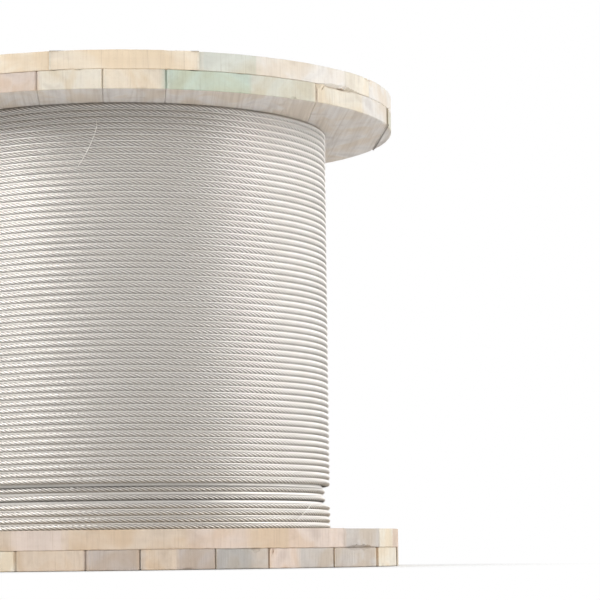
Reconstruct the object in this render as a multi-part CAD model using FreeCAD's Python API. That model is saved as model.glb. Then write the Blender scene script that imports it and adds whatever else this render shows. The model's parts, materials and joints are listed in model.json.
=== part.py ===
"""Reel of wire rope: 8 mm rope in ten layers on a timber reel that stands on one flange.

Each flange is two plies of sawn boards, laid crosswise and cut to a disc. A barrel of staves on two
round heads joins the flanges, and four tie bolts hold the reel together. The rope is turned as one
ring whose ridges are the turns of the outer layer. Units are millimetres. The origin is the centre
of the bottom flange's lower face, +Z points up the reel's axis, and -Y is the front.
"""
import FreeCAD, Part

import math
import os

# Flanges
FLANGE_RADIUS = 375.0
PLY_THICKNESS = 25.0
TRAVERSE = 550.0             # clear height between the flanges
ARBOR_RADIUS = 40.0

# Barrel
BARREL_RADIUS = 211.0
STAVE_COUNT = 16
STAVE_THICKNESS = 22.0
STAVE_GAP = 1.5
HEAD_THICKNESS = 25.0
HEAD_CLEARANCE = 0.3         # between a barrel head and the staves round it

# Tie bolts, M12 with a round head above and a washer and nut below
BOLT_INSET = 36.0            # from the staves' inner face to a bolt's axis
BOLT_AZIMUTH = 58.0          # degrees from the X axis, either way
BOLT_RADIUS = 6.0
BOLT_HOLE_CLEARANCE = 1.0
BOLT_HEAD_RADIUS = 18.0
BOLT_HEAD_HEIGHT = 6.0
BOLT_HEAD_ROUNDING = 3.0
BOLT_END_STANDOUT = 3.0      # how far the bolt's end passes its nut
WASHER_RADIUS = 20.0
WASHER_THICKNESS = 3.0
WASHER_HOLE_CLEARANCE = 0.5
NUT_ACROSS_FLATS = 18.0
NUT_HEIGHT = 10.0
RECESS_SIDE_CLEARANCE = 2.0  # round a washer or a bolt head in its recess
RECESS_END_CLEARANCE = 2.0   # from the bolt's end, or its head, to the flange's face

# Rope
ROPE_DIAMETER = 8.0
ROPE_LAYERS = 10
LAYER_STEP = ROPE_DIAMETER * math.sqrt(3) / 2    # each layer lies in the grooves of the one below
TURN_GAP = 0.2
ROPE_CLEARANCE = 0.1         # from the rope to the barrel and to the flanges
RIDGE_ANGLES = (-70.0, 0.0, 70.0)    # corners of a turn's ridge, round the turn's centre
LAST_TURNS = 4               # turns of the outer layer below the sunk ones
LAST_TURN_GAP = 0.8
SUNK_TURNS = 2               # turns that have slipped down into the layer below
SUNK_TURN_GAP = 3.0

# Rope's outer end, led off the coil along the bottom flange and held by staples
END_AZIMUTH = 70.0           # degrees from +X, where it leaves the coil
END_LENGTH = 55.0            # past the point where it is clear of the coil
STAPLE_WIRE_RADIUS = 1.5
STAPLE_DEPTH = 20.0
STAPLE_INSETS = (40.0, 14.0)     # back from the rope's end
STAPLE_CLEARANCE = 0.2

# Joints between the boards of each ply: the angle at the rim, from the middle of the ply, where the
# joint comes out, and the gap that it leaves. Boards run along Y, or along X in a turned ply.
TOP_OUTER_JOINTS = (
    (-75.0, 1.0), (-39.0, 1.5), (-29.0, 2.0), (-9.2, 1.5),
    (9.2, 1.5), (26.1, 2.0), (44.3, 1.5), (65.0, 1.5),
)
TOP_INNER_JOINTS = (
    (-50.7, 2.0), (-32.2, 2.0), (-17.0, 4.5), (-4.2, 2.0), (8.0, 2.0), (41.3, 4.0), (73.0, 1.5),
)
BOTTOM_INNER_JOINTS = (
    (-41.3, 2.0), (-27.2, 1.5), (-17.5, 1.5), (-7.7, 1.5),
    (10.8, 1.5), (26.1, 2.0), (44.3, 2.0), (63.3, 1.5),
)
BOTTOM_OUTER_JOINTS = (
    (-53.1, 2.0), (-35.0, 2.0), (-21.3, 6.0), (-7.7, 4.5), (2.5, 1.0),
    (17.0, 2.0), (28.2, 1.2), (44.8, 1.8), (60.7, 5.5), (76.5, 1.5),
)

FLANGE_THICKNESS = 2 * PLY_THICKNESS
HEIGHT = TRAVERSE + 2 * FLANGE_THICKNESS
TOP_FLANGE_Z = HEIGHT - FLANGE_THICKNESS
BOLT_HOLE_RADIUS = BOLT_RADIUS + BOLT_HOLE_CLEARANCE
HEAD_RECESS_DEPTH = BOLT_HEAD_HEIGHT + RECESS_END_CLEARANCE
NUT_RECESS_DEPTH = WASHER_THICKNESS + NUT_HEIGHT + BOLT_END_STANDOUT + RECESS_END_CLEARANCE
BARREL_BORE = BARREL_RADIUS - STAVE_THICKNESS
BOLT_CIRCLE = BARREL_BORE - BOLT_INSET
BOLT_X = BOLT_CIRCLE * math.cos(math.radians(BOLT_AZIMUTH))
BOLT_Y = BOLT_CIRCLE * math.sin(math.radians(BOLT_AZIMUTH))
BOLT_PLACES = [(x, y) for x in (-BOLT_X, BOLT_X) for y in (-BOLT_Y, BOLT_Y)]

ROPE_RADIUS = ROPE_DIAMETER / 2
ROPE_BORE = BARREL_RADIUS + ROPE_CLEARANCE
OUTER_TURN_RADIUS = ROPE_BORE + ROPE_RADIUS + (ROPE_LAYERS - 1) * LAYER_STEP
LOWEST_TURN_Z = FLANGE_THICKNESS + ROPE_CLEARANCE + ROPE_RADIUS
HIGHEST_TURN_Z = TOP_FLANGE_Z - ROPE_CLEARANCE - ROPE_RADIUS

# The outer end starts where its inner side is clear of the coil, measured from its tangent point
COIL_RADIUS = OUTER_TURN_RADIUS + ROPE_RADIUS
END_START = math.sqrt((COIL_RADIUS + ROPE_CLEARANCE) ** 2 - (OUTER_TURN_RADIUS - ROPE_RADIUS) ** 2)
END_STOP = END_START + END_LENGTH
STAPLE_FOOT = FLANGE_THICKNESS - STAPLE_DEPTH

UP = FreeCAD.Vector(0, 0, 1)


def point(x, y, z):
    return FreeCAD.Vector(x, y, z)


def save(name, shape):
    """Writes one node's solids to its own STEP file."""
    shape.exportStep("parts/" + name + ".step")


def end_line():
    """Tangent point and unit direction of the rope's outer end, on its centre line."""
    turn = math.radians(END_AZIMUTH)
    tangent = point(OUTER_TURN_RADIUS * math.cos(turn), OUTER_TURN_RADIUS * math.sin(turn), LOWEST_TURN_Z)
    return tangent, point(-math.sin(turn), math.cos(turn), 0)


def staple_legs():
    """Top of each staple's two legs, at the height of the rope's centre line."""
    tangent, along = end_line()
    across = UP.cross(along) * (ROPE_RADIUS + STAPLE_CLEARANCE + STAPLE_WIRE_RADIUS)
    middles = [tangent + along * (END_STOP - inset) for inset in STAPLE_INSETS]
    return [(middle - across, middle + across) for middle in middles]


def bolt_cutter(z, bottom_recess, top_recess):
    """What the tie bolts take out of a ply whose lower face is at z."""
    tools = []
    for x, y in BOLT_PLACES:
        tools.append(Part.makeCylinder(BOLT_HOLE_RADIUS, PLY_THICKNESS, point(x, y, z)))
        if bottom_recess:
            radius = WASHER_RADIUS + RECESS_SIDE_CLEARANCE
            tools.append(Part.makeCylinder(radius, NUT_RECESS_DEPTH, point(x, y, z)))
        if top_recess:
            radius = BOLT_HEAD_RADIUS + RECESS_SIDE_CLEARANCE
            floor = z + PLY_THICKNESS - HEAD_RECESS_DEPTH
            tools.append(Part.makeCylinder(radius, HEAD_RECESS_DEPTH, point(x, y, floor)))
    return tools


def staple_cutter():
    """What the staples' legs take out of the ply that they are driven into."""
    return [
        Part.makeCylinder(STAPLE_WIRE_RADIUS, STAPLE_DEPTH, point(leg.x, leg.y, STAPLE_FOOT))
        for legs in staple_legs()
        for leg in legs
    ]


def ply(name, z, joints, turned, tools):
    """Saves the boards of one ply, from one side of the disc to the other."""
    disc = Part.makeCylinder(FLANGE_RADIUS, PLY_THICKNESS, point(0, 0, z))
    holes = [Part.makeCylinder(ARBOR_RADIUS, PLY_THICKNESS, point(0, 0, z))] + tools
    starts = [-FLANGE_RADIUS]
    ends = []
    for angle, gap in joints:
        middle = FLANGE_RADIUS * math.sin(math.radians(angle))
        ends.append(middle - gap / 2)
        starts.append(middle + gap / 2)
    ends.append(FLANGE_RADIUS)
    for number, (start, end) in enumerate(zip(starts, ends), 1):
        corner = point(start, -FLANGE_RADIUS, z)
        strip = Part.makeBox(end - start, 2 * FLANGE_RADIUS, PLY_THICKNESS, corner)
        if turned:
            strip.rotate(point(0, 0, 0), UP, 90)
        board = disc.common(strip).cut(holes)
        save("%s_board_%d" % (name, number), board.Solids[0])


def barrel():
    """Staves side by side in a ring, nailed round a head at each end."""
    foot = point(0, 0, FLANGE_THICKNESS)
    ring = Part.makeCylinder(BARREL_RADIUS, TRAVERSE, foot)
    ring = ring.cut(Part.makeCylinder(BARREL_BORE, TRAVERSE, foot))
    slots = []
    for number in range(STAVE_COUNT):
        corner = point(0, -STAVE_GAP / 2, FLANGE_THICKNESS)
        slot = Part.makeBox(BARREL_RADIUS, STAVE_GAP, TRAVERSE, corner)
        slot.rotate(point(0, 0, 0), UP, 360.0 * number / STAVE_COUNT)
        slots.append(slot)
    save("barrel_staves", Part.makeCompound(ring.cut(slots).Solids))

    for name, z in (("bottom", FLANGE_THICKNESS), ("top", TOP_FLANGE_Z - HEAD_THICKNESS)):
        head = Part.makeCylinder(BARREL_BORE - HEAD_CLEARANCE, HEAD_THICKNESS, point(0, 0, z))
        holes = [Part.makeCylinder(ARBOR_RADIUS, HEAD_THICKNESS, point(0, 0, z))]
        for x, y in BOLT_PLACES:
            holes.append(Part.makeCylinder(BOLT_HOLE_RADIUS, HEAD_THICKNESS, point(x, y, z)))
        save("barrel_head_" + name, head.cut(holes).Solids[0])


def tie_bolts():
    """Tie bolt, washer and nut at each place, all sunk below the flanges' faces."""
    head_z = HEIGHT - HEAD_RECESS_DEPTH
    washer_z = NUT_RECESS_DEPTH - WASHER_THICKNESS
    nut_z = washer_z - NUT_HEIGHT
    end_z = nut_z - BOLT_END_STANDOUT
    for number, (x, y) in enumerate(BOLT_PLACES, 1):
        head = Part.makeCylinder(BOLT_HEAD_RADIUS, BOLT_HEAD_HEIGHT, point(x, y, head_z))
        top_edges = [edge for edge in head.Edges if edge.BoundBox.ZMin > head_z + BOLT_HEAD_HEIGHT / 2]
        head = head.makeFillet(min(BOLT_HEAD_ROUNDING, BOLT_HEAD_HEIGHT / 2), top_edges)
        shank = Part.makeCylinder(BOLT_RADIUS, head_z - end_z, point(x, y, end_z))
        save("tie_bolt_%d" % number, head.fuse(shank).removeSplitter().Solids[0])

        hole = Part.makeCylinder(
            BOLT_RADIUS + WASHER_HOLE_CLEARANCE, WASHER_THICKNESS, point(x, y, washer_z)
        )
        washer = Part.makeCylinder(WASHER_RADIUS, WASHER_THICKNESS, point(x, y, washer_z)).cut(hole)
        save("tie_washer_%d" % number, washer.Solids[0])

        corner_radius = NUT_ACROSS_FLATS / math.sqrt(3)
        corners = [
            point(
                x + corner_radius * math.cos(math.radians(60 * k)),
                y + corner_radius * math.sin(math.radians(60 * k)),
                nut_z,
            )
            for k in range(7)
        ]
        block = Part.Face(Part.makePolygon(corners)).extrude(point(0, 0, NUT_HEIGHT))
        nut = block.cut(Part.makeCylinder(BOLT_RADIUS, NUT_HEIGHT, point(x, y, nut_z)))
        save("tie_nut_%d" % number, nut.Solids[0])


def turns():
    """(height, centre radius) of each turn of the outer layer, from the bottom up."""
    last_pitch = ROPE_DIAMETER + LAST_TURN_GAP
    last = [(LOWEST_TURN_Z + k * last_pitch, OUTER_TURN_RADIUS) for k in range(LAST_TURNS)]
    sunk_pitch = ROPE_DIAMETER + SUNK_TURN_GAP
    sunk_radius = OUTER_TURN_RADIUS - LAYER_STEP
    sunk = [(last[-1][0] + (k + 1) * sunk_pitch, sunk_radius) for k in range(SUNK_TURNS)]
    first_z = sunk[-1][0] + sunk_pitch
    count = int((HIGHEST_TURN_Z - first_z) / (ROPE_DIAMETER + TURN_GAP))
    pitch = (HIGHEST_TURN_Z - first_z) / count
    return last + sunk + [(first_z + k * pitch, OUTER_TURN_RADIUS) for k in range(count + 1)]


def wire_rope():
    """The wound rope as one turned ring, with a ridge for each turn of its outer layer."""
    bottom_corner = point(ROPE_BORE, 0, LOWEST_TURN_Z - ROPE_RADIUS)
    top_corner = point(ROPE_BORE, 0, HIGHEST_TURN_Z + ROPE_RADIUS)
    outline = [bottom_corner, point(OUTER_TURN_RADIUS, 0, bottom_corner.z)]
    for z, centre in turns():
        for angle in map(math.radians, RIDGE_ANGLES):
            out = centre + ROPE_RADIUS * math.cos(angle)
            outline.append(point(out, 0, z + ROPE_RADIUS * math.sin(angle)))
    outline += [point(OUTER_TURN_RADIUS, 0, top_corner.z), top_corner, bottom_corner]
    ring = Part.Face(Part.makePolygon(outline)).revolve(point(0, 0, 0), UP, 360)
    save("wire_rope", ring.Solids[0])


def rope_end():
    """The rope's outer end, straight off the lowest turn, and the staples over it."""
    tangent, along = end_line()
    save("rope_end", Part.makeCylinder(ROPE_RADIUS, END_LENGTH, tangent + along * END_START, along))

    for number, (left, right) in enumerate(staple_legs(), 1):
        crown = (left + right) / 2 + UP * ((right - left).Length / 2)
        left_foot = point(left.x, left.y, STAPLE_FOOT)
        right_foot = point(right.x, right.y, STAPLE_FOOT)
        path = Part.Wire([
            Part.LineSegment(left_foot, left).toShape(),
            Part.Arc(left, crown, right).toShape(),
            Part.LineSegment(right, right_foot).toShape(),
        ])
        section = Part.Wire(Part.makeCircle(STAPLE_WIRE_RADIUS, left_foot, UP))
        save("rope_staple_%d" % number, path.makePipeShell([section], True, False).Solids[0])


def main():
    os.makedirs("parts", exist_ok=True)
    ply("bottom_outer", 0, BOTTOM_OUTER_JOINTS, False, bolt_cutter(0, True, False))
    ply(
        "bottom_inner", PLY_THICKNESS, BOTTOM_INNER_JOINTS, True,
        bolt_cutter(PLY_THICKNESS, False, False) + staple_cutter(),
    )
    ply("top_inner", TOP_FLANGE_Z, TOP_INNER_JOINTS, False, bolt_cutter(TOP_FLANGE_Z, False, False))
    outer_z = TOP_FLANGE_Z + PLY_THICKNESS
    ply("top_outer", outer_z, TOP_OUTER_JOINTS, True, bolt_cutter(outer_z, False, True))
    barrel()
    tie_bolts()
    wire_rope()
    rope_end()


main()
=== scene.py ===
"""Looks for the reel of wire rope: weathered boards, wound galvanised rope, nails and bolts.

Everything is in metres in the frame's own axes: the reel stands on z = 0 with its axis on Z, and
-Y is its front. The boards and the rope are rebuilt in detail in the places that the frame gives.
"""
import json
import math

import bmesh
import bpy
import numpy as np
from mathutils import Matrix, Vector


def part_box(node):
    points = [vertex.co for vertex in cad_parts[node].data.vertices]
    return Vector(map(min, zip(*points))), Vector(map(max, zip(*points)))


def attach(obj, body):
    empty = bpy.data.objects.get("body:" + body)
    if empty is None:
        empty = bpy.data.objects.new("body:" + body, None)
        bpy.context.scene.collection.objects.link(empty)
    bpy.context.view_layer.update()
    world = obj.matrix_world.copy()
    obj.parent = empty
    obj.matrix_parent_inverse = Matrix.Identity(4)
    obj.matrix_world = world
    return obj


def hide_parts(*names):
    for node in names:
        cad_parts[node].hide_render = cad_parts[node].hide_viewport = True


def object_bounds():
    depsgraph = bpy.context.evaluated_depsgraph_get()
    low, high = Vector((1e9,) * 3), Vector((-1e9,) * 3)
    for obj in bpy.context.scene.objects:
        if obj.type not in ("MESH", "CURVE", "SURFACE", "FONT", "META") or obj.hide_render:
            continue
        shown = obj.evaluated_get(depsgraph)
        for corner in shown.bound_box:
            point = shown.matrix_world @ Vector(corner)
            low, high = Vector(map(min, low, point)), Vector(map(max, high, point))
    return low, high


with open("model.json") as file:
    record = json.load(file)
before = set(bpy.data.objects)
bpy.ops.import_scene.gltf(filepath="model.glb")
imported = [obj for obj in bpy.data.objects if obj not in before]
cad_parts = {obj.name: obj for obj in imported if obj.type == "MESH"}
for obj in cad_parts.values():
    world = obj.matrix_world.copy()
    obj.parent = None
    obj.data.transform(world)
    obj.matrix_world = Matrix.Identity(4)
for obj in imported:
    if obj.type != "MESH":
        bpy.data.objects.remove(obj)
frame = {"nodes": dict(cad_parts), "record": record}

MM = 0.001
TURN = 2 * math.pi
CAD_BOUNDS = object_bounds()

# Sizes read from the frame
MOUNTS = {mount["name"]: mount for mount in frame["record"]["mounts"]}
FLANGE_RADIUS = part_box("top_outer_board_5")[1][0]
HEIGHT = CAD_BOUNDS[1][2]
ARBOR_RADIUS = MOUNTS["arbor_hole"]["dims"]["r_mm"] * MM
COIL_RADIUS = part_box("wire_rope")[1][0]
ROPE_RADIUS = (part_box("rope_end")[1][2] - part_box("rope_end")[0][2]) / 2
WOUND_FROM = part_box("wire_rope")[0][2] + ROPE_RADIUS
WOUND_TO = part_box("wire_rope")[1][2] - ROPE_RADIUS

PLIES = {
    "top_outer": {"boards": 9, "turned": True},
    "top_inner": {"boards": 8, "turned": False},
    "bottom_inner": {"boards": 9, "turned": True},
    "bottom_outer": {"boards": 11, "turned": False},
}


# ---------------------------------------------------------------- small helpers

def smooth_step(x):
    x = np.clip(x, 0.0, 1.0)
    return x * x * (3 - 2 * x)


def noise_1d(x, seed):
    """Smooth noise from -1 to 1, one random value per whole number of x."""
    values = np.random.default_rng(seed).uniform(-1, 1, 512)
    cell = np.floor(x).astype(int)
    blend = smooth_step(x - cell)
    return values[cell % 512] * (1 - blend) + values[(cell + 1) % 512] * blend


def srgb(red, green, blue):
    """A colour given as 0 to 255 on screen, as linear light."""
    return tuple(
        (c / 255 / 12.92) if c <= 10 else ((c / 255 + 0.055) / 1.055) ** 2.4
        for c in (red, green, blue)
    )


def mesh_object(name, vertices, faces, smooth=False):
    """A new object from plain lists, or from arrays whose faces are all four-sided."""
    mesh = bpy.data.meshes.new(name)
    if isinstance(faces, np.ndarray):
        mesh.vertices.add(len(vertices))
        mesh.vertices.foreach_set("co", np.asarray(vertices, np.float32).ravel())
        mesh.loops.add(faces.size)
        mesh.loops.foreach_set("vertex_index", faces.astype(np.int32).ravel())
        mesh.polygons.add(len(faces))
        mesh.polygons.foreach_set("loop_start", np.arange(0, faces.size, 4, dtype=np.int32))
        mesh.update(calc_edges=True)
    else:
        mesh.from_pydata(vertices, [], faces)
        mesh.update()
    mesh.polygons.foreach_set("use_smooth", [smooth] * len(mesh.polygons))
    piece = bpy.data.objects.new(name, mesh)
    bpy.context.scene.collection.objects.link(piece)
    return piece


def set_attribute(mesh, name, kind, domain, values):
    layer = mesh.attributes.new(name, kind, domain)
    field = {"FLOAT": "value", "FLOAT_VECTOR": "vector", "FLOAT_COLOR": "color"}[kind]
    layer.data.foreach_set(field, np.asarray(values, np.float32).ravel())


def finished(piece, slot, material, *replaced):
    """Gives a piece its material and its place in the frame."""
    piece.data.materials.clear()
    piece.data.materials.append(material)
    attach(piece, "root")
    if replaced:
        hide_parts(*replaced)
    return piece


# ---------------------------------------------------------------- materials

class Shader:
    """Short ways to lay out one material's nodes."""

    def __init__(self, name):
        self.material = bpy.data.materials.new(name)
        self.material.use_nodes = True
        self.nodes = self.material.node_tree.nodes
        self.links = self.material.node_tree.links
        self.surface = self.nodes["Principled BSDF"]

    def feed(self, socket, value):
        if isinstance(value, bpy.types.NodeSocket):
            self.links.new(value, socket)
        elif value is not None:
            socket.default_value = value

    def attribute(self, name, output="Fac"):
        node = self.nodes.new("ShaderNodeAttribute")
        node.attribute_name = name
        return node.outputs[output]

    def place(self):
        return self.nodes.new("ShaderNodeTexCoord").outputs["Object"]

    def math(self, operation, a, b=None, clamp=False):
        node = self.nodes.new("ShaderNodeMath")
        node.operation = operation
        node.use_clamp = clamp
        self.feed(node.inputs[0], a)
        self.feed(node.inputs[1], b)
        return node.outputs[0]

    def stretch(self, vector, scale):
        node = self.nodes.new("ShaderNodeVectorMath")
        node.operation = "MULTIPLY"
        self.feed(node.inputs[0], vector)
        node.inputs[1].default_value = scale
        return node.outputs[0]

    def join(self, x=0.0, y=0.0, z=0.0):
        node = self.nodes.new("ShaderNodeCombineXYZ")
        for socket, value in zip(node.inputs, (x, y, z)):
            self.feed(socket, value)
        return node.outputs[0]

    def split(self, vector):
        node = self.nodes.new("ShaderNodeSeparateXYZ")
        self.feed(node.inputs[0], vector)
        return node.outputs

    def noise(self, vector, scale, detail=3.0, distortion=0.0):
        node = self.nodes.new("ShaderNodeTexNoise")
        self.feed(node.inputs["Vector"], vector)
        node.inputs["Scale"].default_value = scale
        node.inputs["Detail"].default_value = detail
        node.inputs["Distortion"].default_value = distortion
        return node.outputs["Fac"]

    def levels(self, value, low, high, out_low=0.0, out_high=1.0):
        node = self.nodes.new("ShaderNodeMapRange")
        node.interpolation_type = "SMOOTHSTEP"
        for socket, number in zip(node.inputs[1:5], (low, high, out_low, out_high)):
            socket.default_value = number
        self.feed(node.inputs[0], value)
        return node.outputs[0]

    def mix(self, factor, a, b, blend="MIX"):
        node = self.nodes.new("ShaderNodeMix")
        node.data_type = "RGBA"
        node.blend_type = blend
        self.feed(node.inputs["Factor"], factor)
        for socket, value in zip((node.inputs[6], node.inputs[7]), (a, b)):
            self.feed(socket, (*value, 1.0) if isinstance(value, tuple) and len(value) == 3 else value)
        return node.outputs[2]

    def bump(self, height, distance, strength=1.0, under=None):
        node = self.nodes.new("ShaderNodeBump")
        node.inputs["Distance"].default_value = distance
        node.inputs["Strength"].default_value = strength
        self.feed(node.inputs["Height"], height)
        self.feed(node.inputs["Normal"], under)
        return node.outputs[0]

    def finish(self, colour, roughness, normal, metallic=0.0):
        self.feed(self.surface.inputs["Base Color"], colour)
        self.feed(self.surface.inputs["Roughness"], roughness)
        self.feed(self.surface.inputs["Normal"], normal)
        self.surface.inputs["Metallic"].default_value = metallic
        return self.material


def board_material():
    """Sawn softwood. The tint comes from each board, and the grain runs along it."""
    s = Shader("sawn_board")
    tint = s.attribute("tint", "Color")
    rim = s.attribute("rim")
    grain = s.attribute("grain", "Vector")
    arc = s.attribute("arc")
    height = s.split(grain)[2]

    fibres = s.noise(s.stretch(grain, (4, 210, 210)), 1.0, 5.0, 0.3)
    rings = s.noise(s.stretch(grain, (1.1, 30, 26)), 1.0, 2.0, 0.9)
    lines = s.math("SINE", s.math("MULTIPLY", rings, 46.0))
    ring_lines = s.levels(lines, 0.1, 1.0)
    patches = s.noise(s.stretch(grain, (9, 17, 17)), 1.0, 3.0, 0.8)
    stains = s.noise(s.stretch(grain, (16, 24, 24)), 1.0, 5.0, 0.5)
    specks = s.noise(grain, 420.0, 3.0)
    teeth = s.noise(s.join(s.math("MULTIPLY", arc, 520.0), s.math("MULTIPLY", height, 20.0)), 1.0, 4.0, 0.2)
    clusters = s.noise(s.join(s.math("MULTIPLY", arc, 60.0), s.math("MULTIPLY", height, 8.0)), 1.0, 2.0)

    along = s.math("SUBTRACT", 1.0, rim)
    dark = s.mix(1.0, tint, srgb(206, 194, 182), "MULTIPLY")
    grey = s.mix(1.0, tint, srgb(222, 219, 219), "MULTIPLY")
    warm = s.mix(1.0, tint, srgb(248, 240, 229), "MULTIPLY")
    colour = s.mix(s.levels(patches, 0.38, 0.58), warm, tint)
    colour = s.mix(s.math("MULTIPLY", s.levels(patches, 0.52, 0.72), 0.6), colour, grey)
    fibre_strength = s.math("ADD", s.math("MULTIPLY", along, 0.22), 0.08)
    face_fibres = s.math("MULTIPLY", s.levels(fibres, 0.4, 0.75), fibre_strength)
    colour = s.mix(face_fibres, colour, dark)
    colour = s.mix(s.math("MULTIPLY", s.math("MULTIPLY", ring_lines, along), 0.18), colour, dark)
    saw = s.math("MULTIPLY", s.levels(teeth, 0.48, 0.78), s.levels(clusters, 0.38, 0.66, 0.25, 1.0))
    colour = s.mix(s.math("MULTIPLY", s.math("MULTIPLY", saw, rim), 0.5), colour, dark)
    colour = s.mix(s.math("MULTIPLY", s.levels(stains, 0.56, 0.76), 0.45), colour, dark)
    colour = s.mix(s.math("MULTIPLY", s.levels(specks, 0.6, 0.75), 0.18), colour, dark)

    relief = s.math("ADD", s.math("MULTIPLY", fibres, 0.5), s.math("MULTIPLY", ring_lines, 0.12))
    rim_relief = s.math("ADD", s.math("MULTIPLY", teeth, 0.9), s.math("MULTIPLY", clusters, 1.2))
    relief = s.math("ADD", s.math("MULTIPLY", relief, along), s.math("MULTIPLY", rim_relief, rim))
    normal = s.bump(relief, 0.0009, 0.7)
    normal = s.bump(stains, 0.0012, 0.35, normal)
    roughness = s.levels(fibres, 0.3, 0.7, 0.72, 0.9)
    return s.finish(colour, roughness, normal)


def rope_material():
    """Galvanised wires: dull pale crests, with painted shade down between the strands and between the wires.
    """
    s = Shader("galvanised_rope")
    groove = s.attribute("groove")
    run = s.attribute("run")
    wires = s.split(s.attribute("wires", "Vector"))
    place = s.place()

    wire_phase = s.math("ADD", s.math("MULTIPLY", wires[0], 900.0), s.math("MULTIPLY", wires[1], 12.0))
    wire = s.math("SINE", wire_phase)
    worn = s.noise(s.stretch(place, (18, 18, 120)), 1.0, 4.0, 0.3)
    speck = s.noise(place, 900.0, 3.0)
    layer_tone = s.noise(s.join(s.math("MULTIPLY", run, 2.3)), 1.0, 2.0)

    crest = s.mix(s.levels(worn, 0.35, 0.7), srgb(232, 228, 223), srgb(224, 220, 214))
    crest = s.mix(s.math("MULTIPLY", s.levels(layer_tone, 0.45, 0.7), 0.4), crest, srgb(212, 208, 202))
    crest = s.mix(s.math("MULTIPLY", s.levels(speck, 0.55, 0.75), 0.12), crest, srgb(190, 186, 180))
    # Painted shade: the strand valleys, where the groove value is low, take these darker colours in place of
    # the crest colours.
    deep = s.mix(s.levels(worn, 0.3, 0.75), srgb(150, 146, 141), srgb(162, 157, 151))
    colour = s.mix(s.levels(groove, 0.28, 1.0), deep, crest)
    # Painted shade: the lines between the wires are darkened a little.
    colour = s.mix(s.math("MULTIPLY", s.levels(wire, 0.0, -0.95), 0.1), colour, srgb(130, 126, 120))

    normal = s.bump(wire, 0.00003, 0.3)
    roughness = s.levels(worn, 0.3, 0.75, 0.36, 0.44)
    return s.finish(colour, roughness, normal, metallic=0.7)


def hardware_material():
    """Zinc-plated steel gone dull, with rust in patches."""
    s = Shader("dull_zinc")
    place = s.place()
    patches = s.noise(place, 160.0, 5.0, 0.5)
    scratches = s.noise(s.stretch(place, (900, 120, 500)), 1.0, 3.0)
    zinc = s.mix(s.levels(scratches, 0.4, 0.65), srgb(150, 147, 142), srgb(184, 181, 175))
    colour = s.mix(s.levels(patches, 0.52, 0.66), zinc, srgb(138, 98, 66))
    normal = s.bump(s.math("ADD", patches, scratches), 0.0003, 0.5)
    roughness = s.levels(patches, 0.45, 0.65, 0.42, 0.82)
    return s.finish(colour, roughness, normal, metallic=0.6)


def rough_wood_material():
    """Barrel timber inside the winding, which shows only through the arbor hole and the gaps."""
    s = Shader("barrel_timber")
    place = s.place()
    fibres = s.noise(s.stretch(place, (120, 120, 7)), 1.0, 5.0, 0.4)
    stain = s.noise(place, 14.0, 3.0)
    colour = s.mix(s.levels(fibres, 0.38, 0.7), srgb(205, 180, 144), srgb(158, 130, 98))
    colour = s.mix(s.math("MULTIPLY", s.levels(stain, 0.45, 0.7), 0.5), colour, srgb(128, 112, 94))
    return s.finish(colour, 0.85, s.bump(fibres, 0.001, 0.7))


# ---------------------------------------------------------------- boards

RIM_STEP = 2.5 * MM          # between two columns of a board's mesh, round the rim
SIDE_STEP = 14 * MM
JOINT_DEPTH = 3.5 * MM       # an open joint closes this far in from the rim
BOARD_CLEARANCE = 0.15 * MM  # left between a board and the boards beside, over and under it
EDGE_WEAR = 0.9 * MM         # usual width of the worn edge between a board's face and its side
UNSUNK_BOARDS = (4, 5, 6)    # in each ply, the middle boards keep the frame's own faces
BOLT_HOLE = 7 * MM
HEAD_RECESS_DEPTH = 8 * MM   # from the top flange's face down to the floor of a bolt head's recess
RECESS_CLEARANCE = 2 * MM

BEIGE = srgb(233, 220, 200)
ROSY = srgb(221, 205, 193)
TAN = srgb(216, 199, 180)
CREAM = srgb(232, 224, 208)
CHALK = srgb(228, 223, 216)
OLIVE = srgb(214, 213, 200)
MINT = srgb(201, 213, 199)
GREY_GREEN = srgb(211, 213, 203)
MAUVE = srgb(192, 181, 173)
GREY = srgb(200, 193, 186)
BLUE_GREY = srgb(182, 178, 173)
UNDERSIDE = srgb(224, 219, 214)

# Colour round each rim, from each azimuth on: degrees from the front, towards +X
RIM_TINTS = {
    "top_outer": (
        (-180, CHALK), (-128, BEIGE), (-92, CREAM), (-60, BEIGE), (-20, BEIGE), (15, GREY_GREEN), (27, CHALK),
        (51, CREAM), (61, CHALK), (84, CREAM), (118, BEIGE), (150, ROSY),
    ),
    "top_inner": (
        (-180, BEIGE), (-140, OLIVE), (-96, CREAM), (-50, ROSY), (-17, CREAM), (-4.2, BEIGE), (8, MINT),
        (25, OLIVE), (41.3, CREAM), (58, CHALK), (73, OLIVE), (104, BEIGE), (137, GREY), (160, ROSY),
    ),
    "bottom_inner": (
        (-180, TAN), (-131, ROSY), (-88, BEIGE), (-49, TAN), (-22, ROSY), (-12, TAN), (12, ROSY), (24, TAN),
        (33, ROSY), (48.7, GREY), (62.8, CREAM), (72.5, ROSY), (95, BEIGE), (118, GREY), (134, TAN),
    ),
    "bottom_outer": (
        (-180, BEIGE), (-138, GREY), (-100, TAN), (-62, BEIGE), (-36, CREAM), (-21.3, TAN), (-7.7, MAUVE),
        (2.5, TAN), (10, MAUVE), (17, BLUE_GREY), (25, GREY), (28.2, ROSY), (35, GREY), (60.7, CREAM),
        (76.5, BEIGE), (112, ROSY), (143, MAUVE), (162, BEIGE),
    ),
}

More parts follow.
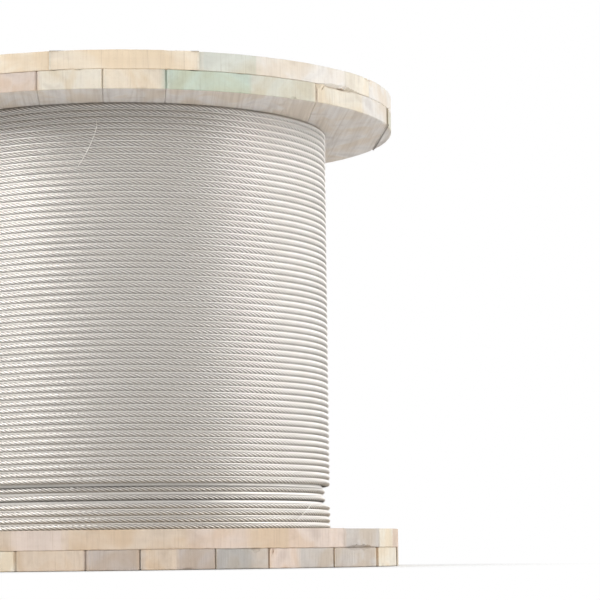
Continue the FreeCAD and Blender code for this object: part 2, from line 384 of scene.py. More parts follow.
# Chips out of the rim: ply, azimuth, half-width in degrees, which edge, how deep along Z, how far in
CHIPS = (
    ("top_outer", 60.0, 2.2, "top", 4.2, 5.0), ("top_outer", 49.0, 8.0, "bottom", 3.0, 5.0),
    ("top_outer", 9.0, 1.2, "top", 1.6, 2.0), ("top_outer", -31.0, 2.5, "top", 2.2, 2.5),
    ("top_outer", 141.0, 2.0, "top", 3.6, 4.0), ("top_outer", -118.0, 3.0, "bottom", 3.0, 3.0),
    ("top_inner", 42.5, 1.5, "top", 9.0, 8.0), ("top_inner", 48.5, 7.0, "top", 2.8, 5.0),
    ("top_inner", 35.5, 1.0, "bottom", 2.0, 2.5), ("top_inner", -9.0, 0.8, "top", 1.8, 2.0),
    ("top_inner", 166.0, 1.6, "bottom", 3.2, 3.5), ("top_inner", -74.0, 2.0, "bottom", 3.0, 3.0),
    ("bottom_inner", 54.5, 6.0, "bottom", 3.0, 5.0), ("bottom_inner", 20.0, 1.3, "top", 1.6, 2.0),
    ("bottom_inner", -26.0, 1.6, "top", 2.4, 2.5), ("bottom_inner", -160.0, 2.2, "top", 3.4, 4.0),
    ("bottom_outer", 28.9, 0.8, "top", 7.0, 4.0), ("bottom_outer", 25.4, 1.0, "top", 5.0, 2.5),
    ("bottom_outer", 53.5, 6.0, "top", 3.0, 5.0), ("bottom_outer", 11.5, 1.4, "bottom", 1.8, 2.0),
    ("bottom_outer", -44.0, 1.8, "bottom", 2.6, 3.0), ("bottom_outer", 128.0, 2.4, "top", 3.5, 4.0),
)


def azimuth_of(x, y):
    """Degrees from the front, -Y, towards +X."""
    return np.degrees(np.arctan2(x, -np.asarray(y)))


def arc_points(radius, start, stop, step):
    """Points on a circle from one angle to another, in radians from +X, both ends included."""
    count = max(2, int(abs(stop - start) * radius / step) + 1)
    return [(radius * math.cos(a), radius * math.sin(a)) for a in np.linspace(start, stop, count)]


def side_points(across, upward):
    """Points up one straight side of a board, with a notch where the side meets the arbor hole."""
    half = math.sqrt(max(FLANGE_RADIUS ** 2 - across ** 2, 0.0))
    ys = list(np.linspace(-half, half, max(2, int(2 * half / SIDE_STEP))))[1:-1]
    if half > 3 * JOINT_DEPTH:
        ys = [JOINT_DEPTH - half] + [y for y in ys if abs(y) < half - 2 * JOINT_DEPTH] + [half - JOINT_DEPTH]
    if abs(across) < ARBOR_RADIUS:
        cut = math.sqrt(ARBOR_RADIUS ** 2 - across ** 2)
        turn = math.atan2(cut, across)
        if upward:
            notch = arc_points(ARBOR_RADIUS, -turn, turn - TURN, 4 * MM)
        else:
            notch = arc_points(ARBOR_RADIUS, -turn, turn, 4 * MM)
        line = [(across, y) for y in ys]
        points = [p for p in line if p[1] < -cut - MM] + notch + [p for p in line if p[1] > cut + MM]
    else:
        points = [(across, y) for y in ys]
    return points if upward else points[::-1]


def gap_beside(ply, number, axis, upper):
    """Width of the joint at a board's lower or upper side, or 0 where the board ends the ply."""
    other = number + (1 if upper else -1)
    if not 1 <= other <= PLIES[ply]["boards"]:
        return 0.0
    this_box, other_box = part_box("%s_board_%d" % (ply, number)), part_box("%s_board_%d" % (ply, other))
    return other_box[0][axis] - this_box[1][axis] if upper else this_box[0][axis] - other_box[1][axis]


def closing(outline, on_rim, across, low_gap, high_gap):
    """How far the sides stand out of the outline: a joint is open at the rim and closes further in."""
    depth = FLANGE_RADIUS - np.linalg.norm(outline, axis=1)
    gap = np.where(across < across.mean(), low_gap, high_gap)
    beyond_arbor = np.linalg.norm(outline, axis=1) > ARBOR_RADIUS + 4 * MM
    grown = np.maximum(gap / 2 - BOARD_CLEARANCE, 0) * smooth_step(depth / (0.6 * JOINT_DEPTH))
    return np.where(on_rim | ~beyond_arbor, 0, grown)


def board_outline(low, high):
    """(points, which of them are on the rim) round a board that lies along Y, anticlockwise."""
    low_turn = math.acos(max(-1.0, low / FLANGE_RADIUS))
    high_turn = math.acos(min(1.0, high / FLANGE_RADIUS))
    near = arc_points(FLANGE_RADIUS, -low_turn, -high_turn, RIM_STEP)
    far = arc_points(FLANGE_RADIUS, high_turn, low_turn, RIM_STEP)
    right = side_points(high, True) if high < FLANGE_RADIUS - MM / 2 else []
    left = side_points(low, False) if low > -FLANGE_RADIUS + MM / 2 else []
    if not right:
        far = far[1:]
    if not left:
        far = far[:-1]
    points = near + right + far + left
    on_rim = [True] * len(near) + [False] * len(right) + [True] * len(far) + [False] * len(left)
    return np.array(points), np.array(on_rim)


def chip_depths(ply, azimuth, edge):
    """How deep along Z and how far in the chips take this edge of the rim, at each azimuth."""
    deep = np.zeros(len(azimuth))
    inward = np.zeros(len(azimuth))
    for chip_ply, middle, half, chip_edge, depth, reach in CHIPS:
        if chip_ply == ply and chip_edge == edge:
            away = np.abs((azimuth - middle + 180) % 360 - 180) / half
            share = smooth_step(1.35 * (1 - away)) * (1 + 0.35 * noise_1d(azimuth * 2.3, len(ply)))
            deep += np.clip(share, 0, 1.2) * depth * MM
            inward += np.clip(share, 0, 1.2) * reach * MM
    return deep, inward


def rim_tint(ply, azimuth, seed):
    """The rim's colour at each azimuth, with soft, wandering edges between one tint and the next."""
    starts = np.array([start for start, _ in RIM_TINTS[ply]])
    tints = np.array([tint for _, tint in RIM_TINTS[ply]])
    wander = azimuth + 0.5 * noise_1d(azimuth * 0.9, seed) + 0.35 * noise_1d(azimuth * 4.1, seed + 1)
    soft = np.zeros((len(azimuth), 3))
    for shift in (-0.6, -0.3, 0.0, 0.3, 0.6):
        turned = (wander + shift + 180) % 360 - 180
        soft += tints[np.searchsorted(starts, turned, side="right") - 1] / 5
    tone = 1 + 0.035 * noise_1d(azimuth * 0.31, seed + 2) + 0.02 * noise_1d(azimuth * 1.7, seed + 3)
    return soft * tone[:, None]


def bolt_cutters(board_low, board_high, ply):
    """Cylinders, as (x, y, radius, low z, high z), that the bolts take out of a board."""
    cuts = []
    for number in range(1, 5):
        low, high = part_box("tie_bolt_%d" % number)
        x, y = (low[0] + high[0]) / 2, (low[1] + high[1]) / 2
        if board_low[0] < x < board_high[0] and board_low[1] < y < board_high[1]:
            cuts.append((x, y, BOLT_HOLE, board_low[2] - MM, board_high[2] + MM))
            if ply == "top_outer":
                radius = (high[0] - low[0]) / 2 + RECESS_CLEARANCE
                cuts.append((x, y, radius, HEIGHT - HEAD_RECESS_DEPTH, HEIGHT + MM))
            if ply == "bottom_outer":
                washer_low, washer_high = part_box("tie_washer_%d" % number)
                radius = (washer_high[0] - washer_low[0]) / 2 + RECESS_CLEARANCE
                cuts.append((x, y, radius, -MM, washer_high[2]))
    return cuts


def cut_holes(piece, cuts):
    """Takes upright cylinders out of a piece, and leaves the result in its mesh."""
    tools = []
    for x, y, radius, low, high in cuts:
        body = bmesh.new()
        bmesh.ops.create_cone(
            body, cap_ends=True, segments=48, radius1=radius, radius2=radius, depth=high - low,
            matrix=Matrix.Translation((x, y, (low + high) / 2)),
        )
        mesh = bpy.data.meshes.new("cutter")
        body.to_mesh(mesh)
        body.free()
        tool = bpy.data.objects.new("cutter", mesh)
        bpy.context.scene.collection.objects.link(tool)
        modifier = piece.modifiers.new("cut", "BOOLEAN")
        modifier.operation = "DIFFERENCE"
        modifier.solver = "EXACT"
        modifier.object = tool
        tools.append(tool)
    cut = bpy.data.meshes.new_from_object(piece.evaluated_get(bpy.context.evaluated_depsgraph_get()))
    piece.modifiers.clear()
    piece.data = cut
    for tool in tools:
        bpy.data.objects.remove(tool)


def paint_board(piece, ply, turned, seed):
    """Stores on the mesh what the board material reads: tint, grain, rim and arc."""
    mesh = piece.data
    count = len(mesh.vertices)
    places = np.empty(count * 3, np.float32)
    mesh.vertices.foreach_get("co", places)
    places = places.reshape(-1, 3)
    azimuth = azimuth_of(places[:, 0], places[:, 1])
    if turned:
        grain = places[:, [0, 1, 2]].copy()
    else:
        grain = places[:, [1, 0, 2]].copy()
    grain += np.array([seed * 1.37, seed * 0.71, seed * 0.23])
    set_attribute(mesh, "grain", "FLOAT_VECTOR", "POINT", grain)
    set_attribute(mesh, "arc", "FLOAT", "POINT", np.radians(azimuth) * FLANGE_RADIUS + seed)

    loops = len(mesh.loops)
    corner_vertex = np.empty(loops, np.int32)
    mesh.loops.foreach_get("vertex_index", corner_vertex)
    totals = np.empty(len(mesh.polygons), np.int32)
    mesh.polygons.foreach_get("loop_total", totals)
    normals = np.empty(len(mesh.polygons) * 3, np.float32)
    mesh.polygons.foreach_get("normal", normals)
    centres = np.empty(len(mesh.polygons) * 3, np.float32)
    mesh.polygons.foreach_get("center", centres)
    normals, centres = normals.reshape(-1, 3), centres.reshape(-1, 3)
    out = centres[:, :2] / np.maximum(np.linalg.norm(centres[:, :2], axis=1), 1e-6)[:, None]
    outward = (normals[:, :2] * out).sum(axis=1)
    far_out = np.linalg.norm(centres[:, :2], axis=1) > FLANGE_RADIUS - 8 * MM
    on_rim = ((outward > 0.35) & far_out).astype(np.float32)
    corner_rim = np.repeat(on_rim, totals)
    set_attribute(mesh, "rim", "FLOAT", "CORNER", corner_rim)

    random = np.random.default_rng(seed)
    choices = (BEIGE, CREAM, TAN, ROSY, GREY, CHALK)
    face_tint = np.array(choices[random.integers(len(choices))]) * random.uniform(0.93, 1.02)
    if ply == "bottom_inner":
        face_tint = np.array(BEIGE) * random.uniform(0.94, 1.03)
    if ply == "top_inner":
        face_tint = np.array(UNDERSIDE) * random.uniform(0.97, 1.03)
    rim_tints = rim_tint(ply, azimuth, 40 + len(ply))[corner_vertex]
    if ply == "top_inner":
        rim_tints = rim_tints * 0.93
    tints = np.where(corner_rim[:, None] > 0.5, rim_tints, face_tint[None, :])
    set_attribute(mesh, "tint", "FLOAT_COLOR", "CORNER", np.c_[np.clip(tints, 0, 1), np.ones(loops)])


def make_board(ply, number, turned, material):
    """One board: its outline in the disc, a rough sawn rim, worn edges, and its holes."""
    node = "%s_board_%d" % (ply, number)
    low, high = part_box(node)
    seed = 100 * (list(PLIES).index(ply) + 1) + number
    random = np.random.default_rng(seed)
    if turned:
        outline, on_rim = board_outline(low[1], high[1])
        outline = np.c_[-outline[:, 1], outline[:, 0]]
    else:
        outline, on_rim = board_outline(low[0], high[0])

    axis = 1 if turned else 0
    gaps = gap_beside(ply, number, axis, False), gap_beside(ply, number, axis, True)
    grown = closing(outline, on_rim, outline[:, axis], *gaps)

    # Directions in from the outline: towards the axis on the rim, square to the side elsewhere
    after = np.roll(outline, -1, axis=0) - np.roll(outline, 1, axis=0)
    inward = np.c_[-after[:, 1], after[:, 0]]
    inward /= np.linalg.norm(inward, axis=1)[:, None]
    azimuth = azimuth_of(outline[:, 0], outline[:, 1])
    arc = np.radians(azimuth) * FLANGE_RADIUS

    shrunk = random.uniform(0.0, 0.9) * MM
    sunk = random.uniform(0.0, 0.7) * MM
    saw = 0.16 * noise_1d(arc / (3.6 * MM), seed) + 0.3 * noise_1d(arc / (31 * MM), seed + 7)
    rough = np.where(on_rim, shrunk + (0.5 + saw) * MM, -grown)
    long_wear = noise_1d(arc / (9 * MM), seed + 1)
    short_wear = noise_1d(arc / (2.9 * MM), seed + 2)
    wear = EDGE_WEAR * (1.1 + 0.5 * long_wear + 0.4 * short_wear)
    top_deep, top_in = (np.where(on_rim, v, 0) for v in chip_depths(ply, azimuth, "top"))
    low_deep, low_in = (np.where(on_rim, v, 0) for v in chip_depths(ply, azimuth, "bottom"))

    floor = low[2] + (0 if ply == "bottom_outer" else BOARD_CLEARANCE) + (sunk if ply == "top_inner" else 0)
    ceiling = high[2] - (sunk if ply in ("bottom_inner", "top_outer") else BOARD_CLEARANCE)
    if number in UNSUNK_BOARDS:
        floor, ceiling = low[2], high[2]
    bottom_edge = floor + wear * 0.8 + low_deep
    top_edge = ceiling - wear * 0.8 - top_deep

    rows = [(np.full(len(outline), floor), wear * 0.9 + low_in), (bottom_edge, 0.0 * wear)]
    for share in (0.2, 0.4, 0.6, 0.8):
        ripple = np.where(on_rim, 0.09 * MM * noise_1d(arc / (2.6 * MM) + share * 1.6, seed + 3), 0)
        rows.append((bottom_edge + (top_edge - bottom_edge) * share, ripple))
    rows += [(top_edge, 0.0 * wear), (np.full(len(outline), ceiling), wear * 0.9 + top_in)]

    points = []
    for z, inset in rows:
        flat = outline + inward * (rough + inset)[:, None]
        # A rim point near a corner must not pass the board's own straight side
        if gaps[0]:
            flat[on_rim, axis] = np.maximum(flat[on_rim, axis], (low[axis] + inset)[on_rim])
        if gaps[1]:
            flat[on_rim, axis] = np.minimum(flat[on_rim, axis], (high[axis] - inset)[on_rim])
        points.append(np.c_[flat, z])
    vertices = np.concatenate(points)
    size = len(outline)
    faces = [tuple(range(size))[::-1]]
    for row in range(len(rows) - 1):
        here, above = row * size, (row + 1) * size
        for k in range(size):
            after_k = (k + 1) % size
            faces.append((here + k, here + after_k, above + after_k, above + k))
    top = (len(rows) - 1) * size
    faces.append(tuple(range(top, top + size)))
    piece = mesh_object(node + "_sawn", [tuple(v) for v in vertices], faces)

    cuts = bolt_cutters(low, high, ply)
    if low[axis] < -ARBOR_RADIUS and high[axis] > ARBOR_RADIUS:
        cuts.append((0.0, 0.0, ARBOR_RADIUS, low[2] - MM, high[2] + MM))
    if cuts:
        cut_holes(piece, cuts)
    paint_board(piece, ply, turned, seed)
    slots = {entry["node"]: entry["material_slot"] for entry in frame["record"]["subparts"]}
    finished(piece, slots[node], material, node)
    return piece


# ---------------------------------------------------------------- rope

ROPE_LAY = 47 * MM
STRANDS = 6
STRAND_POINTS = 4            # round each strand
TURN_STEPS = 376             # along each turn
BAND_TURNS = 11
LAYER_STEP = 2 * ROPE_RADIUS * math.sqrt(3) / 2
END_AZIMUTH = math.radians(70)   # from +X, where the rope's end leaves the coil
LAST_TURNS = 4
LAST_PITCH = 2 * ROPE_RADIUS + 0.8 * MM
SUNK_TURNS = 2
SUNK_PITCH = 2 * ROPE_RADIUS + 3 * MM
TURN_GAP = 0.2 * MM
CREASE_FILL = 1.9 * MM       # pale filler in the creases between two turns reaches this far past their centres, painted light in place of their shade
END_FILL = 1.4 * MM          # the same pale filler, painted light, between the coil and a flange
WIRE_RADIUS = 0.45 * MM
WIRE_POINTS = 6              # round each loose wire
# Courses of the loose wires: degrees from the front, mm up, mm off the coil
LOOSE_WIRES = [
    [
        (-7.5, 579, 0.2), (-7.2, 569, 1.5), (-7.8, 558, 2.5),
        (-9, 544, 2.5), (-10.5, 530, 1.5), (-12.3, 517, 0.2),
    ],
    [(60.7, 84, 0.2), (58.6, 79, 1.6), (56.2, 72, 1.8), (53.1, 62, 0.2)],
]
CLIMB = (0.86, 0.958)        # part of each turn in which the rope climbs to the next


def turn_centres():
    """(heights, radii) of the outer layer's turns, from the bottom up."""
    outer = COIL_RADIUS - ROPE_RADIUS
    heights = [WOUND_FROM + k * LAST_PITCH for k in range(LAST_TURNS)]
    radii = [outer] * LAST_TURNS
    for _ in range(SUNK_TURNS):
        heights.append(heights[-1] + SUNK_PITCH)
        radii.append(outer - LAYER_STEP)
    first = heights[-1] + SUNK_PITCH
    count = int((WOUND_TO - first) / (2 * ROPE_RADIUS + TURN_GAP) + 1e-6)
    heights += list(np.linspace(first, WOUND_TO, count + 1))
    radii += [outer] * (count + 1)
    return np.array(heights), np.array(radii)


def rope_line(turns):
    """Centre, outward direction and length along the rope, at each number of turns from its end.

    Below 0 it is the straight end. The last turn dives under the flange into the layer below.
    """
    heights, radii = turn_centres()
    last = len(heights) - 1
    whole = np.clip(np.floor(turns).astype(int), 0, last)
    after = np.clip(whole + 1, 0, last)
    climb = smooth_step((turns - whole - CLIMB[0]) / (CLIMB[1] - CLIMB[0]))
    z = heights[whole] + (heights[after] - heights[whole]) * climb
    radius = radii[whole] + (radii[after] - radii[whole]) * climb
    dive = smooth_step((turns - last - 0.7) / 0.16)
    radius = radius - LAYER_STEP * dive
    loose = 0.16 * noise_1d(turns * 5.3 + whole * 0.7, 5) + 0.1 * noise_1d(turns * 17.0, 6)
    inside = (turns > 0.3) & (turns < last - 0.5)
    radius = radius + np.where(inside, (loose - 0.1) * MM, 0)
    sway = 0.07 * noise_1d(turns * 4.1, 8) + 0.05 * noise_1d(turns * 13.0, 9)
    z = z + np.where(inside, sway * MM, 0)

    angle = END_AZIMUTH - TURN * np.maximum(turns, 0)
    outward = np.c_[np.cos(angle), np.sin(angle), np.zeros(len(turns))]
    centre = np.c_[radius * outward[:, 0], radius * outward[:, 1], z]
    straight = np.minimum(turns, 0) * TURN * radii[0]
    along = np.array([math.sin(END_AZIMUTH), -math.cos(END_AZIMUTH), 0])
    centre += straight[:, None] * along[None, :]
    return centre, outward, turns * TURN * radii[0]


def strand_section():
    """Radius and angle of each point round the six-lobed section, how deep it lies, and its wire angle."""
    circle = ROPE_RADIUS / 1.5
    strand = circle / 2
    radii, angles, crests, wires = [], [], [], []
    for lobe in range(STRANDS):
        for step in range(STRAND_POINTS):
            local = (step / STRAND_POINTS - 0.5) * TURN / STRANDS
            under = max(strand ** 2 - (circle * math.sin(local)) ** 2, 0.0)
            radius = circle * math.cos(local) + math.sqrt(under)
            radii.append(radius)
            angles.append(lobe * TURN / STRANDS + local)
            crests.append(1 - abs(local) * 2 * STRANDS / TURN)
            wires.append(math.atan2(radius * math.sin(local), radius * math.cos(local) - circle))
    return np.array(radii), np.array(angles), np.array(crests), np.array(wires)


def rope_band(name, start, stop):
    """The rope from one number of turns to another. The side that faces the layer below is left out."""
    steps = max(3, int((stop - start) * TURN_STEPS) + 1)
    turns = np.linspace(start, stop, steps)
    centre, outward, run = rope_line(turns)
    radii, angles, crests, wires = strand_section()
    around = len(radii)
    up = np.array([0.0, 0.0, 1.0])
    # The run counts backwards along the azimuth, so the twist is positive for a right-hand lay
    twist = TURN / ROPE_LAY * run
    angle = angles[None, :] + twist[:, None]
    offset = radii[None, :, None] * (
        np.cos(angle)[:, :, None] * outward[:, None, :] + np.sin(angle)[:, :, None] * up[None, None, :]
    )
    vertices = (centre[:, None, :] + offset).reshape(-1, 3)

    row, column = np.meshgrid(np.arange(steps - 1), np.arange(around), indexing="ij")
    beside = (column + 1) % around
    faces = np.stack(
        [
            row * around + column, row * around + beside,
            (row + 1) * around + beside, (row + 1) * around + column,
        ],
        axis=-1,
    ).reshape(-1, 4)
    middle = (angle[:-1] + angle[1:]) / 2 + math.pi / around
    keep = np.cos(middle) > -0.22
    keep |= (turns[:-1] < 0.12)[:, None] | (turns[:-1] > len(turn_centres()[0]) - 0.4)[:, None]
    kept = keep.reshape(-1)
    wire_turn = np.stack([wires[column], wires[beside], wires[beside], wires[column]], axis=-1).reshape(-1, 4)
    # The next strand's first point closes this one's round
    last_of_strand = ((column + 1) % STRAND_POINTS == 0).reshape(-1)
    wire_turn[last_of_strand, 1:3] = -wires[0]
    wire_run = run[np.stack([row, row, row + 1, row + 1], axis=-1).reshape(-1, 4)]
    faces, wire_turn, wire_run = faces[kept], wire_turn[kept], wire_run[kept]

    used, faces = np.unique(faces, return_inverse=True)
    faces = faces.reshape(-1, 4)
    piece = mesh_object(name, vertices[used], faces, smooth=True)
    mesh = piece.data
    set_attribute(mesh, "groove", "FLOAT", "POINT", np.tile(crests, steps)[used])
    set_attribute(mesh, "run", "FLOAT", "POINT", np.repeat(run, around)[used])
    corners = np.stack([wire_run, wire_turn, np.zeros_like(wire_run)], axis=-1)
    set_attribute(mesh, "wires", "FLOAT_VECTOR", "CORNER", corners)
    return piece


def make_rope(material):
    heights, _ = turn_centres()
    stop = len(heights) - 1 + 0.92
    middle = COIL_RADIUS - ROPE_RADIUS
    tangent_x = middle * math.cos(END_AZIMUTH)
    face_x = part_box("rope_end")[0][0] + ROPE_RADIUS * math.cos(END_AZIMUTH)
    end_turns = -(tangent_x - face_x) / math.sin(END_AZIMUTH) / (TURN * middle)
    number = 1
    start = end_turns
    while start < stop:
        band_stop = min(math.floor(max(start, 0) + 1e-6) + BAND_TURNS, stop)
        band = rope_band("rope_turns_%d" % number, start, band_stop)
        finished(band, "wire_rope", material, *(("wire_rope", "rope_end") if number == 1 else ("wire_rope",)))
        start = band_stop
        number += 1
    make_cut_end(end_turns, material)
    make_core(material)
    make_loose_wires(material)


def make_cut_end(end_turns, material):
    """The six strands and the core, cut off square at the rope's outer end."""
    centre, outward, run = rope_line(np.array([end_turns, end_turns + 1e-4]))
    back = Vector(centre[0] - centre[1]).normalized()
    side, up = Vector(outward[0]), Vector((0, 0, 1))
    strand = ROPE_RADIUS / 3
    body = bmesh.new()
    for number in range(STRANDS + 1):
        angle = TURN * number / STRANDS + TURN / ROPE_LAY * run[0]
        out = 0.0 if number == STRANDS else 2 * strand
        place = Vector(centre[0]) + out * (math.cos(angle) * side + math.sin(angle) * up)
        proud = (0.25 + 0.5 * ((number * 3) % 7) / 7) * MM
        turned = back.to_track_quat("Z", "Y").to_matrix().to_4x4()
        bmesh.ops.create_cone(
            body, cap_ends=True, segments=20, radius1=strand * 0.98, radius2=strand * 0.86, depth=3 * MM,
            matrix=Matrix.Translation(place + back * (proud - 1.5 * MM)) @ turned,
        )
    piece = bpy.data.objects.new("rope_cut_end", bpy.data.meshes.new("rope_cut_end"))
    body.to_mesh(piece.data)
    body.free()
    bpy.context.scene.collection.objects.link(piece)
    count = len(piece.data.vertices)
    set_attribute(piece.data, "groove", "FLOAT", "POINT", np.full(count, 0.45))
    finished(piece, "wire_rope", material, "rope_end")


def make_loose_wires(material):
    """Single broken wires that have sprung out of the rope and lie against the coil."""
    for number, course in enumerate(LOOSE_WIRES, 1):
        azimuths, heights, stands = np.array(course, dtype=float).T
        place = np.linspace(0, len(course) - 1, 8 * len(course))
        azimuth, height, stand = (
            np.interp(place, np.arange(len(course)), row)
            for row in (np.radians(azimuths), heights * MM, stands * MM)
        )
        radius = COIL_RADIUS + stand
        line = np.stack([radius * np.sin(azimuth), -radius * np.cos(azimuth), height], axis=1)
        outward = np.stack([np.sin(azimuth), -np.cos(azimuth), 0 * azimuth], axis=1)
        side = np.cross(np.gradient(line, axis=0), outward)
        side /= np.linalg.norm(side, axis=1)[:, None]
        turns = np.arange(WIRE_POINTS) / WIRE_POINTS * TURN
        ring = np.cos(turns)[None, :, None] * outward[:, None] + np.sin(turns)[None, :, None] * side[:, None]
        vertices = (line[:, None] + WIRE_RADIUS * ring).reshape(-1, 3)
        row, column = np.meshgrid(np.arange(len(line) - 1), np.arange(WIRE_POINTS), indexing="ij")
        beside = (column + 1) % WIRE_POINTS
        here, after = row * WIRE_POINTS, (row + 1) * WIRE_POINTS
        faces = np.stack([here + column, here + beside, after + beside, after + column], axis=-1)
        piece = mesh_object("loose_wire_%d" % number, vertices, faces.reshape(-1, 4), smooth=True)
        set_attribute(piece.data, "groove", "FLOAT", "POINT", np.ones(len(vertices)))
        finished(piece, "wire_rope", material, "wire_rope")


def make_core(material):
    """The turns of the layer below, seen only in the gaps and painted darker there as painted shade, and a
    pale filler in the creases of the outer layer, painted light in place of their shade.
    """
    heights, radii = turn_centres()
    segments = 144
    inside = COIL_RADIUS - 2.4 * LAYER_STEP
    foot, head = WOUND_FROM - ROPE_RADIUS + 0.2 * MM, WOUND_TO + ROPE_RADIUS - 0.2 * MM
    # Painted light: the lips beside the flanges get pale paint (0.75) where a dark crease would be, and the
    # paint turns darker towards the inside (0.2).
    profile = [(inside, foot), (radii[0] + END_FILL, foot)]
    paint = [0.2, 0.75]
    between = (heights[1:] + heights[:-1]) / 2
    gaps = heights[1:] - heights[:-1] - 2 * ROPE_RADIUS
    for z, gap, low, high in zip(between, gaps, radii[:-1], radii[1:]):
        if gap < 1 * MM:
            # A pale filler fills the crease between two turns that touch: painted light in place of the
            # crease's shade
            crease = min(low, high) + CREASE_FILL
            profile += [(crease - 4 * MM, z - 2 * MM), (crease, z), (crease - 4 * MM, z + 2 * MM)]
            paint += [0.5, 0.85, 0.5]
            continue
        # Painted shade: the turns of the layer below, down in the gaps, get the darker valley tones (0.4 to
        # 0.7) rather than the full crest.
        paint += [0.4, 0.7, 0.4]
        centre = min(low, high) - 0.5 * LAYER_STEP
        for turn in (-65, 0, 65):
            angle = math.radians(turn)
            profile.append((centre + ROPE_RADIUS * 0.97 * math.cos(angle), z + ROPE_RADIUS * math.sin(angle)))
    profile += [(radii[-1] + END_FILL, head), (inside, head)]
    radius, z = np.array(profile).T
    turns = np.arange(segments) / segments * TURN
    vertices = np.stack(
        [np.outer(np.cos(turns), radius), np.outer(np.sin(turns), radius), np.tile(z, (segments, 1))], axis=-1
    ).reshape(-1, 3)
    size = len(profile)
    ring, step = np.meshgrid(np.arange(segments), np.arange(size - 1), indexing="ij")
    beside = (ring + 1) % segments
    faces = np.stack(
        [ring * size + step, beside * size + step, beside * size + step + 1, ring * size + step + 1], axis=-1
    ).reshape(-1, 4)
    piece = mesh_object("rope_layer_below", vertices, faces, smooth=True)
    crest = np.tile(np.array(paint + [0.75, 0.2]), segments)
    set_attribute(piece.data, "groove", "FLOAT", "POINT", crest)
    finished(piece, "wire_rope", material, "wire_rope")


# ---------------------------------------------------------------- nails and hardware

NAIL_RADIUS = 3.4 * MM
NAIL_MARGIN = 16 * MM        # from a board's side or the rim to a nail


def nail_places(outer, inner):
    """Where the boards of an outer ply are nailed to the boards that cross them."""
    random = np.random.default_rng(31 + len(outer))
    taken = [((low[0] + high[0]) / 2, (low[1] + high[1]) / 2, 26 * MM)
             for low, high in (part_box("tie_bolt_%d" % k) for k in range(1, 5))]
    taken.append((0.0, 0.0, ARBOR_RADIUS + 8 * MM))
    places = []
    for number in range(1, PLIES[outer]["boards"] + 1):
        low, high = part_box("%s_board_%d" % (outer, number))
        for crossing in range(1, PLIES[inner]["boards"] + 1):
            cross_low, cross_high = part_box("%s_board_%d" % (inner, crossing))
            if PLIES[outer]["turned"]:
                x0, x1, y0, y1 = cross_low[0], cross_high[0], low[1], high[1]
            else:
                x0, x1, y0, y1 = low[0], high[0], cross_low[1], cross_high[1]
            shares = ((0.5, 0.5),) if min(x1 - x0, y1 - y0) < 58 * MM else ((0.24, 0.3), (0.76, 0.7))
            for share_x, share_y in shares:
                x = x0 + (x1 - x0) * share_x + random.normal(0, 3) * MM
                y = y0 + (y1 - y0) * share_y + random.normal(0, 3) * MM
                clear = min(x - x0, x1 - x, y - y0, y1 - y) > 5 * MM
                if clear and math.hypot(x, y) < FLANGE_RADIUS - NAIL_MARGIN:
                    if all(math.hypot(x - hole[0], y - hole[1]) > hole[2] for hole in taken):
                        places.append((x, y, number))
    return places


def make_nails(name, outer, inner, faces_up, surfaces, material):
    """Nail heads driven flush with a flange's outer face, one joined mesh."""
    body = bmesh.new()
    random = np.random.default_rng(77 + len(name))
    for x, y, number in nail_places(outer, inner):
        z = surfaces["%s_board_%d" % (outer, number)][1 if faces_up else 0]
        lift = random.uniform(-0.05, 0.22) * MM
        size = NAIL_RADIUS * random.uniform(0.9, 1.1)
        lean = Matrix.Rotation(random.uniform(-0.03, 0.03), 4, "X")
        tilt = lean @ Matrix.Rotation(random.uniform(0, TURN), 4, "Z")
        flip = Matrix() if faces_up else Matrix.Rotation(math.pi, 4, "X")
        place = Matrix.Translation((x, y, z + (lift if faces_up else -lift))) @ flip @ tilt
        bmesh.ops.create_cone(
            body, cap_ends=True, segments=18, radius1=size, radius2=size * 0.78, depth=1.0 * MM,
            matrix=place @ Matrix.Translation((0, 0, -0.4 * MM)),
        )
    piece = bpy.data.objects.new(name, bpy.data.meshes.new(name))
    body.to_mesh(piece.data)
    body.free()
    bpy.context.scene.collection.objects.link(piece)
    finished(piece, "hardware", material)


def dress_nodes(hardware, timber):
    """The carried-over CAD nodes keep their shapes and get their materials here."""
    for name, node in frame["nodes"].items():
        if name.startswith(("tie_", "rope_staple")):
            chosen = hardware
        elif name.startswith("barrel"):
            chosen = timber
        else:
            continue
        node.data.materials.clear()
        node.data.materials.append(chosen)


# ---------------------------------------------------------------- floor, light and camera

CAMERA_DISTANCE = 9.0918     # in flange radii, from the reel's axis
CAMERA_HEIGHT = 0.0451       # in flange radii, above the floor
CAMERA_YAW = 0.0714          # radians, to the right of the axis
CAMERA_PITCH = 0.1033        # radians, up
CAMERA_ROLL = -0.0124
CAMERA_LENS = 147.2          # mm, on a 36 mm sensor
FLOOR_RADIUS = 14.0
FLOOR_FADE = (0.36, 0.72)    # from the reel's axis, where the floor turns to plain white
WORLD_LIGHT = 0.62           # the world's strength as a light; the camera sees it plain white


def make_camera():
    """The photo's own view: low, far off and with a long lens."""
    camera = bpy.data.objects.new("camera", bpy.data.cameras.new("camera"))
    camera.data.sensor_width = 36
    camera.data.lens = CAMERA_LENS
    camera.data.clip_end = 50
    yaw, pitch, roll = CAMERA_YAW, CAMERA_PITCH, CAMERA_ROLL
    forward = Vector((math.sin(yaw) * math.cos(pitch), math.cos(yaw) * math.cos(pitch), math.sin(pitch)))
    level = Vector((math.cos(yaw), -math.sin(yaw), 0))
    above = level.cross(forward)
    right = level * math.cos(roll) + above * math.sin(roll)
    up = above * math.cos(roll) - level * math.sin(roll)
    place = Matrix((right, up, -forward)).transposed().to_4x4()
    place.translation = (0, -CAMERA_DISTANCE * FLANGE_RADIUS, CAMERA_HEIGHT * FLANGE_RADIUS)
    camera.matrix_world = place
    bpy.context.scene.collection.objects.link(camera)
    bpy.context.scene.camera = camera


